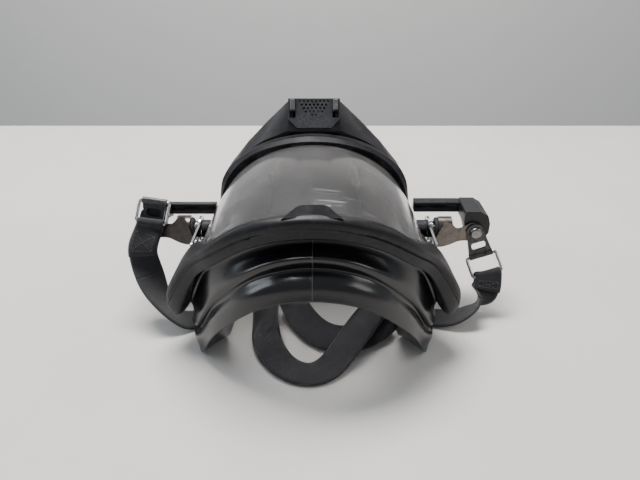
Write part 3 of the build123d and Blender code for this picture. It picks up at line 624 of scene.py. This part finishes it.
def face_blank():
    """The skirt: a deep recess under the frame, a ridge, a rolled bulge and a thin lip with its turned-in flap."""
    root, recess, ridge = ring(ROOT), ring(RECESS), ring(RIDGE)
    valley, bulge, lip = ring(VALLEY), ring(BULGE), ring(LIP)
    edge_out, flap_end = ring(inset(LIP, 0.9, -0.5)), ring(inset(LIP, FLAP, 1.4))
    flap_back, flap_root = ring(inset(LIP, FLAP, 3.0)), ring(inset(LIP, 3.4, 3.4))
    keys = [root, toward(root, recess, 0.6), recess, toward(recess, ridge, 0.35) + (0, 0, -1.2),
            toward(recess, ridge, 0.8) + (0, 0, 0.4), ridge, toward(ridge, valley, 0.55), valley,
            toward(valley, bulge, 0.6) + (0, 0, 0.9), bulge, toward(bulge, lip, 0.5), lip]
    outside = np.stack([spline([k[i] for k in keys], 66) for i in range(AROUND)], 1)
    inner = [ring(inset(BULGE, RUBBER_T, 1.2)), ring(inset(VALLEY, RUBBER_T)), ring(inset(RIDGE, RUBBER_T, -0.6)),
             ring(inset(RECESS, RUBBER_T)), ring(inset(ROOT, RUBBER_T))]
    flap = [edge_out] + [toward(edge_out, flap_end, t) + (0, 0, 0.6 * math.sin(math.pi * t)) for t in
                         (0.15, 0.35, 0.55, 0.75, 0.92)]
    flap += [flap_end, toward(flap_end, flap_back, 0.5), flap_back, toward(flap_back, flap_root, 0.5)]
    rows = np.concatenate([outside, np.stack(flap), np.stack([flap_root]), np.stack(inner)])
    # the mould's part line down the brow and the chin
    for column, out in ((0, -0.35), (AROUND // 2, 0.35)):
        rows[4:66, column] += (0, out, 0.15)
    # creases where the skirt folds at each temple
    for side in (-1, 1):
        for r in range(14, 64):
            p = rows[r]
            near = np.exp(-(((p[:, 0] - side * 74) / 9) ** 2 + ((p[:, 1] + 54) / 13) ** 2))
            wave = np.sin(p[:, 1] * 0.45 + p[:, 2] * 0.36) * 0.3
            rows[r, :, 0] += side * near * wave
    obj = grid("face_blank_rubber", rows, closed_u=True, closed_v=True, material=MATERIALS["rubber"])
    own(obj, "mask", "rubber", "face_blank")
    # raised beads along the same part line, coloured lighter than the skirt rubber as a painted highlight
    for name, column, out in (("brow", 0, -1), ("chin", AROUND // 2, 1)):
        line = rows[6:68, column]
        bead = [[p + (0.26 * math.cos(a), 0.2 * math.sin(a) * out + 0.1 * out, 0.26 * math.sin(a))
                 for a in np.linspace(0, 2 * math.pi, 8, endpoint=False)] for p in line]
        seam = grid(f"face_blank_seam_{name}", bead, closed_u=True, material=MATERIALS["seam"], caps=True)
        own(seam, "mask", "rubber")


# ------------------------------------------------------------------ upper lens frame
# Sections from the middle out: lens-side top, crest, front top edge, front bottom edge, inner bottom, underside.
UPPER = [
    [(0, -76.2, 104.9), (0, -79.3, 104.5), (0, -82, 103), (0, -82, 92), (0, -77, 91), (0, -67, 102)],
    [(20.7, -75.4, 102.5), (21.1, -78.4, 102.1), (21, -81, 100), (20.5, -80.5, 89), (20, -76, 88.5),
     (20, -66, 99)],
    [(41.8, -71.3, 94.7), (42.7, -74, 94.1), (42, -76.5, 91), (41, -76, 80), (39.5, -72, 80.5), (37, -63, 90)],
    [(60.6, -63, 79.8), (61.8, -65.6, 78.7), (62, -68, 77), (59, -69, 66), (57, -66, 68), (53.5, -56.5, 78)],
    [(70, -43, 69), (74, -46, 68), (78.5, -57, 60), (73, -62.5, 50.5), (70, -60.5, 54), (66.5, -48, 66)],
    [(75.6, -38, 54), (84, -40, 52), (93, -50.5, 36), (86, -57, 22), (81, -53, 25), (69.5, -44, 44)],
    [(76.4, -24, 51), (80.5, -25, 47), (83.5, -29, 38), (79, -31, 31), (74.5, -30, 32), (69, -26, 48)],
    [(74.8, -8, 53), (77.7, -8, 49), (78.5, -8, 42), (74.5, -8, 37), (70.5, -8, 37.5), (68, -8, 51)],
]
TIP = 5                     # the section at each rounded tip
TIP_BULGE = np.array((2.2, -0.4, -2.6))
SEAM_DEPTH = 0.55


def rounded(polygon, radius, steps=4):
    """Polygon with each corner turned into a short curve."""
    out = []
    n = len(polygon)
    for k in range(n):
        p, before, after = polygon[k], polygon[k - 1], polygon[(k + 1) % n]
        ends = []
        for q in (before, after):
            length = np.linalg.norm(q - p)
            ends.append(p + (q - p) * min(radius / length, 0.45))
        for j in range(steps):
            t = j / (steps - 1)
            out.append((1 - t) ** 2 * ends[0] + 2 * t * (1 - t) * p + t**2 * ends[1])
    return out


def lens_frame_upper():
    """The heavy black brow bar, its two drooping lobes, the part line on its face and the raised centre tab."""
    half = np.array(UPPER, float)
    full = np.concatenate([half[:0:-1] * (-1, 1, 1), half])
    n = 260
    tracks = np.stack([spline(full[:, k], n) for k in range(6)], 1)
    where = np.abs(np.linspace(-7, 7, n))
    rows = []
    for i in range(n):
        v = list(tracks[i])
        side = 1 if i >= n // 2 else -1
        tip = math.exp(-((where[i] - TIP) / 0.75) ** 2)
        middle = (v[2] + v[3]) / 2 + TIP_BULGE * (side, 1, 1) * tip
        inward = np.array((0, 1, 0.15)) * SEAM_DEPTH * min(1, max(0, (where[i] - 1.1) / 0.5)) * (where[i] < 5.6)
        seam = [v[2] * (1 - f) + middle * f for f in (0.66, 0.74, 0.82)]
        face = [seam[0], seam[1] + inward, seam[2]]
        shape = rounded([*v[:3], middle, *v[3:]], 1.5 + 2.2 * tip)
        cut = 3 * 4
        rows.append(shape[:cut] + face + shape[cut:])
    obj = grid("lens_frame_upper_bar", rows, closed_u=True, material=MATERIALS["frame"], caps=True)
    own(obj, "mask", "frame", "lens_frame_upper")
    tab = []
    plate = [(-16.5, 0), (16.5, 0), (8.6, 9.4), (5.5, 10.4), (-5.5, 10.4), (-8.6, 9.4)]
    for lift, grow in ((-2.5, 0), (1.2, 0), (1.75, -0.5), (1.9, -1.3)):
        ring_points = []
        for x, y in plate:
            x2, y2 = x * (1 + grow / 14), y * (1 + grow / 9) if y else 0
            drop = lens_height(x2, -79.6 + y2 * 0.92)
            ring_points.append((x2, -79.6 + y2 * 0.92, drop + lift))
        tab.append(densify(ring_points, 12))
    obj = grid("lens_frame_tab", tab, closed_u=True, material=MATERIALS["brow_tab"], caps=True)
    bevel(obj, 0.3, 2, 40)
    return own(obj, "mask", "frame")


def densify(points, count):
    """Straight-sided closed outline with count points on each side."""
    out = []
    for k, p in enumerate(points):
        q = points[(k + 1) % len(points)]
        out += [toward(np.array(p), np.array(q), j / count) for j in range(count)]
    return out


def lens_height(x, y):
    """Height of the lens's outer face."""
    fine = spline(np.array(LENS_STATIONS, float), 121)
    a, h, zc = (np.interp(y, fine[:, 0], fine[:, k]) for k in (1, 2, 3))
    return zc - h + h * math.sqrt(max(0, 1 - (x / a) ** 2))


# ------------------------------------------------------------------ lens
LENS_STATIONS = [(-84, 75, 67, 102), (-56, 73.5, 67, 109), (-28, 71.5, 66, 112.6), (0, 69.5, 63, 112.4),
                 (24, 67.5, 59, 109)]
# z and y of the forehead edge and of the chin edge
LENS_FRONT = [(40, -50), (44, -51), (66, -59), (80, -65.5), (94, -73), (105, -78.4), (150, -90)]
LENS_BACK = [(40, -20), (50, 7.5), (58, 15), (68, 17), (90, 16), (111, 14), (150, 13)]
LENS_LOW, LENS_T = 47.5, 2.6


def lens():
    """The wide wrapped lens, dipping toward the forehead, as one even curved sheet with real thickness."""
    st = np.array(LENS_STATIONS, float)
    fine = spline(st, 121)

    def at(y):
        return [np.interp(y, fine[:, 0], fine[:, k]) for k in (1, 2, 3)]

    cols, n_rows = 150, 70
    rows = np.zeros((n_rows, cols, 3))
    for c in range(cols):
        v = c / (cols - 1)
        for r in range(n_rows):
            t = r / (n_rows - 1)
            y = -20.0
            for _ in range(25):
                a, h, zc = at(y)
                low = math.asin(min(1, max(0, (LENS_LOW - (zc - h)) / h)))
                u = low + (math.pi - 2 * low) * v
                z = zc - h + h * math.sin(u)
                front = np.interp(z, *zip(*LENS_FRONT))
                back = np.interp(z, *zip(*LENS_BACK))
                y = 0.5 * y + 0.5 * (front + (back - front) * t)
            rows[r, c] = (-a * math.cos(u), y, z)
    obj = grid("lens_shell", rows, material=MATERIALS["lens"])
    solid = obj.modifiers.new("wall", "SOLIDIFY")
    solid.thickness, solid.offset = LENS_T / 1000, -1
    up = obj.data.polygons[len(obj.data.polygons) // 2 + 70].normal
    if up.z < 0:
        obj.data.flip_normals()
    return own(obj, "mask", "lens", "lens")


# ------------------------------------------------------------------ webbing
WEB_T, WEB_W = 1.7, 19.0
SAMPLES = 600


class Web:
    """A length of webbing: its centre line, width direction and face normal, sampled along smooth keys."""

    def __init__(self, keys, widths=None):
        c = spline([p for p, _ in keys], SAMPLES)
        w = spline([q for _, q in keys], SAMPLES)
        t = np.gradient(c, axis=0)
        t /= np.linalg.norm(t, axis=1)[:, None]
        w -= t * (w * t).sum(1)[:, None]
        w /= np.linalg.norm(w, axis=1)[:, None]
        self.c, self.w, self.up = c, w, np.cross(t, w)
        self.arc = np.concatenate([[0], np.cumsum(np.linalg.norm(np.diff(c, axis=0), axis=1))])
        key_t = np.linspace(0, 1, len(keys))
        self.wide = np.interp(np.linspace(0, 1, SAMPLES), key_t, widths or [1] * len(keys))

    def at(self, s, across=0.0, above=0.0):
        """The point s mm along, across of the half width to the side, above mm over the middle plane."""
        mix = [np.array([np.interp(s, self.arc, a[:, k]) for k in range(3)]) for a in (self.c, self.w, self.up)]
        wide = np.interp(s, self.arc, self.wide)
        return mix[0] + mix[1] * across * wide * WEB_W / 2 + mix[2] * above

    def piece(self, name, start, stop, step=0.8):
        """The stretch from start to stop mm, with rolled selvedges and capped ends."""
        stations = np.linspace(start, stop, max(8, int((stop - start) / step)))
        section = []
        for k in range(15):
            x = -1 + 2 * k / 14
            section.append((x, WEB_T / 2 * (1 - 0.55 * max(0, (abs(x) - 0.86) / 0.14) ** 2)))
        profile = section + [(x, -z) for x, z in reversed(section)]
        rows = [[self.at(d, x, z) for x, z in profile] for d in stations]
        uvs = [(d, x * WEB_W / 2 + (0 if z > 0 else 40)) for d in stations for x, z in profile]
        return grid(name, rows, closed_u=True, material=MATERIALS["webbing"], caps=True, uvs=uvs)


def lay(web, name, start, stop, body, held, rests_on, *nodes, with_pieces=()):
    """One declared sheet of webbing riding on a body."""
    obj = web.piece(name, start, stop)
    if body:
        own(obj, body, "webbing", *nodes)
    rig.sheet(obj, flat=(WEB_W / 1000, (stop - start) / 1000), held=held, rests_on=rests_on, with_pieces=with_pieces)
    return obj


def stitching(web, name, start, stop):
    """A box of thread with a cross in it, as short raised stitches on the tail's outer face."""
    above, lift_by = -WEB_T / 2, 0.3
    line = [(-0.72, start), (0.72, start), (0.72, stop), (-0.72, stop), (-0.72, start), (0.72, stop), (0.72, start),
            (-0.72, stop)]
    verts, faces = [], []
    for (x0, s0), (x1, s1) in zip(line, line[1:]):
        run = math.hypot((x1 - x0) * WEB_W / 2, s1 - s0)
        count = max(2, int(run / 2.2))
        for k in range(count):
            ends = [(x0 + (x1 - x0) * f, s0 + (s1 - s0) * f) for f in ((k + 0.14) / count, (k + 0.86) / count)]
            a, b = (web.at(s, x, above) for x, s in ends)
            top = web.at(ends[0][1], ends[0][0], above - lift_by) - a
            side = np.cross(b - a, top)
            side *= 0.24 / np.linalg.norm(side)
            base = len(verts)
            for p, lift, wide in ((a, 0, 1), (a + (b - a) * 0.2, 1, 1), (a + (b - a) * 0.8, 1, 1), (b, 0, 1)):
                verts += [p - side * wide, p + side * wide] if not lift else [p - side + top, p + side + top]
            faces += [(base, base + 1, base + 3, base + 2), (base + 2, base + 3, base + 5, base + 4),
                      (base + 4, base + 5, base + 7, base + 6), (base, base + 1, base + 7, base + 6),
                      (base, base + 2, base + 4, base + 6), (base + 1, base + 3, base + 5, base + 7)]
    return raw_mesh(name, verts, faces, MATERIALS["thread"])


def side_strap(side, keys, widths, cuts, tail):
    """A side strap looped over its ring: three pieces, each bending over one joint, and the sewn tail.

    cuts holds the ends of the loop and of the middle piece, then the end of the doubled stretch, in mm along.
    """
    web = Web(keys, widths)
    end = web.arc[-1]
    ring_end, tab_end, lower = cuts
    node, p = f"strap_{side}", to_m
    stitches = stitching(web, f"{node}_stitching", *tail)
    top = lay(web, f"{node}_loop", 0, ring_end, None, "hung", [f"strap_ring_{side}"], with_pieces=[stitches])
    mid = lay(web, f"{node}_middle", ring_end, tab_end, None, "hung", [f"strap_{side}_loop"])
    low = lay(web, f"{node}_lower", tab_end, end, None, "laid", ["floor"])
    for obj in (top, stitches):
        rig.blend(obj, f"tab_{side}", f"ring_{side}", p(web.at(ring_end)), p(web.at(lower)))
    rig.blend(mid, f"bracket_{side}", f"tab_{side}", p(web.at(tab_end)), p(web.at(ring_end)))
    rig.blend(low, "mask", f"bracket_{side}", p(web.at(end - 26)), p(web.at(tab_end)))
    for obj in (top, mid, low, stitches):
        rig.slot(obj, "webbing")
        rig.replaces(obj, node)


LOOP_LEFT = [((-115.2, -19.4, 43.6), (1, 0.08, 0.16)), ((-114.8, -16.2, 51.2), (1, 0.05, 0.14)),
             ((-111.4, -10.6, 59.6), (1, 0.02, 0.05)), ((-109.9, -10.4, 63.1), (1, -0.04, -0.1)),
             ((-109.9, -8.2, 65.4), (1, -0.04, -0.13)), ((-109.9, -6.1, 63.0), (1, -0.04, -0.1)),
             ((-111.3, -8.7, 58.4), (1, 0.02, 0.05)), ((-114.7, -13.9, 50.3), (1, 0.05, 0.14)),
             ((-115.4, -17.2, 42.6), (0.97, 0.15, 0.2))]
LOOP_RIGHT = [((118.9, -24.0, 18.6), (0.9, 0.2, 0.3)), ((119.8, -21.3, 23.2), (0.94, 0.05, 0.33)),
              ((120.1, -19.1, 27.6), (0.94, 0, 0.34)), ((120.1, -17.0, 29.8), (0.94, 0, 0.34)),
              ((120.1, -14.8, 27.4), (0.94, 0, 0.34)), ((119.9, -18.4, 22.0), (0.94, 0.05, 0.33)),
              ((118, -21.8, 17.2), (0.9, 0.22, 0.26))]
STRAP_LEFT = [((-113, -21, 34.5), (0.9, 0.35, 0.1)), ((-107.5, -28.5, 24), (0.6, 0.75, -0.1)),
              ((-101, -35, 15.5), (0.25, 0.9, -0.28)), ((-94.5, -37.5, 8.4), (0.05, 0.93, -0.28)),
              ((-87, -36.5, 3.2), (0, 1, -0.05)), ((-78, -33, 1.4), (0, 1, 0)), ((-64, -30, 1.2), (-0.1, 1, 0))]
STRAP_RIGHT = [((112.5, -27.5, 12), (0.6, 0.78, 0)), ((104.5, -32.5, 7.6), (0.25, 0.95, -0.15)),
               ((95, -34, 3.6), (0.05, 1, -0.1)), ((83, -32, 1.6), (0, 1, 0)), ((64, -28, 1.2), (0.1, 1, 0))]
HARNESS_FRONT = [((-33, -26, 13), (1, -0.1, 0.25)), ((-32.5, -44, 7), (0.9, 0, 0.4)),
                 ((-29, -62, 3.4), (0.93, 0.25, 0.12)), ((-18, -79, 1.5), (0.6, 0.8, 0)),
                 ((-3, -86, 1.3), (0.05, 1, 0)), ((11, -79.5, 2.8), (-0.55, 0.83, 0.05)),
                 ((24, -64, 10), (-0.68, 0.72, 0.1)), ((33, -51, 14), (-0.72, 0.68, 0.08)),
                 ((42, -38, 16), (-0.72, 0.68, 0.05))]
HARNESS_REAR = [((-16, -22, 11.5), (0.6, 0.6, 0.35)), ((-10, -37, 9.5), (0.55, 0.7, 0.45)),
                ((1, -51.5, 6.5), (0.35, 0.85, 0.42)), ((15, -58.5, 5.4), (0.05, 0.9, 0.42)),
                ((29, -57, 6), (-0.2, 0.88, 0.4)), ((41, -51, 8.5), (-0.42, 0.8, 0.4)),
                ((48, -43.5, 10), (-0.5, 0.7, 0.4))]

face_blank()
lens_frame_upper()
lens()
side_strap("left", LOOP_LEFT + STRAP_LEFT, [1, 1, 0.94, 0.92, 0.92, 0.92, 0.94] + [1] * 9,
           (54, 68, 44), (3.5, 15.5))
side_strap("right", LOOP_RIGHT + STRAP_RIGHT, [0.96, 0.94, 0.92, 0.92, 0.92, 0.94] + [1] * 6,
           (28, 40, 21), (2, 6.5))
for name, keys in (("front", HARNESS_FRONT), ("rear", HARNESS_REAR)):
    web = Web(keys)
    lay(web, f"harness_{name}_webbing", 0, web.arc[-1], "mask", "laid", ["floor"], f"harness_strap_{name}")

# ------------------------------------------------------------------ side bracket pieces
PIVOT = np.array((0, 5.0, 51.5))
LEAN = {"right": 0.0, "left": -18.0}


def place(points, side):
    """Carry points drawn about the swivel axis for the +X side to a side of the mask."""
    p = np.array(points, float)
    if side == "left":
        p = p * (-1, 1, 1)
    a = math.radians(LEAN[side])
    y, z = p[..., 1].copy(), p[..., 2].copy()
    p[..., 1], p[..., 2] = y * math.cos(a) - z * math.sin(a), y * math.sin(a) + z * math.cos(a)
    return p + PIVOT


def knurled_arm(side):
    """Square arm with a stepped front and two rows of small round knurls along its top."""
    x0, x1, pitch, knurl = 70.6, 102.2, 1.9, 0.75
    low, high, front, back = 9.1, 16.8, 7.2, 15.2
    profile = [(front + 0.8, low), (back - 0.8, low), (back, low + 0.8), (back, high - 0.8), (back - 0.5, high)]
    row_back = [(back - 0.7 - 2.9 * k / 6, math.sin(math.pi * k / 6)) for k in range(7)]
    row_front = [(back - 4.1 - 2.9 * k / 6, math.sin(math.pi * k / 6)) for k in range(7)]
    after = [(front + 0.5, high), (front, high - 0.7), (front, high - 2.6), (front + 0.7, high - 3.0),
             (front + 0.7, low + 2.2), (front, low + 1.8), (front, low + 0.8)]
    rows = []
    for x in np.arange(x0, x1, pitch / 12):
        wave = max(0.0, math.sin(2 * math.pi * (x - x0) / pitch)) ** 0.7
        beads = [(y, high + knurl * wave * lift**0.6) for y, lift in row_back + row_front]
        rows.append([(x, y, z) for y, z in profile + beads + after])
    obj = grid(f"knurled_arm_{side}_bar", place(rows, side), closed_u=True, material=MATERIALS["arm"], caps=True)
    return own(obj, f"bracket_{side}", "arm", f"knurled_arm_{side}")


def ribbed_sleeve(side):
    """Rubber sleeve with turned ribs and soft ends, on the swivel stud."""
    x0, x1, r, bore = 84.4, 95.4, 8.2, 3.06
    steps = 90
    profile = [(x0, bore), (x0, r - 1.2), (x0 + 0.3, r - 0.5)]
    for k in range(steps):
        f = (k + 0.5) / steps
        profile.append((x0 + 0.5 + (x1 - x0 - 1) * f, r - 0.55 * (0.5 + 0.5 * math.cos(2 * math.pi * f * 6))))
    profile += [(x1 - 0.3, r - 0.5), (x1, r - 1.2), (x1, bore)]
    turn = np.linspace(0, 2 * math.pi, 96, endpoint=False)
    rows = [[(x, q * math.cos(a), q * math.sin(a)) for a in turn] for x, q in profile]
    obj = grid(f"rubber_sleeve_{side}_ribbed", place(rows, side), closed_u=True, closed_v=True,
               material=MATERIALS["sleeve"])
    return own(obj, f"bracket_{side}", "sleeve", f"rubber_sleeve_{side}")


for side in ("left", "right"):
    knurled_arm(side)
    ribbed_sleeve(side)

# ------------------------------------------------------------------ table, wall and soft light
floor = stage_plane("floor", (3.0, 0.86), (0, -0.03, 0))
shade(floor, floor_material(), smooth=False)
wall = stage_plane("backdrop", (4.0, 2.2), (0, 1.2, 0.2), (math.radians(90), 0, 0))
shade(wall, wall_material(), smooth=False)
world = bpy.data.worlds.new("room")
bpy.context.scene.world = world
world.use_nodes = True
world.node_tree.nodes["Background"].inputs["Color"].default_value = (0.9, 0.95, 1.0, 1)
world.node_tree.nodes["Background"].inputs["Strength"].default_value = 0.4
area("ceiling", (-0.15, 0.42, 1.25), (0, 0, 0.05), (0.9, 0.35), 34, (1.0, 0.975, 0.95))
area("window_left", (-1.1, 0.1, 0.6), (0, 0, 0.06), (0.5, 0.7), 5, (0.85, 0.92, 1.0))
area("room_right", (1.1, -0.1, 0.7), (0, 0, 0.06), (0.6, 0.6), 4, (1.0, 0.97, 0.93))

json.dump({"cad": [list(map(float, v)) for v in cad_box], "visual": [list(map(float, v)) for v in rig.bounds()]},
          open("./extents.json", "w"))
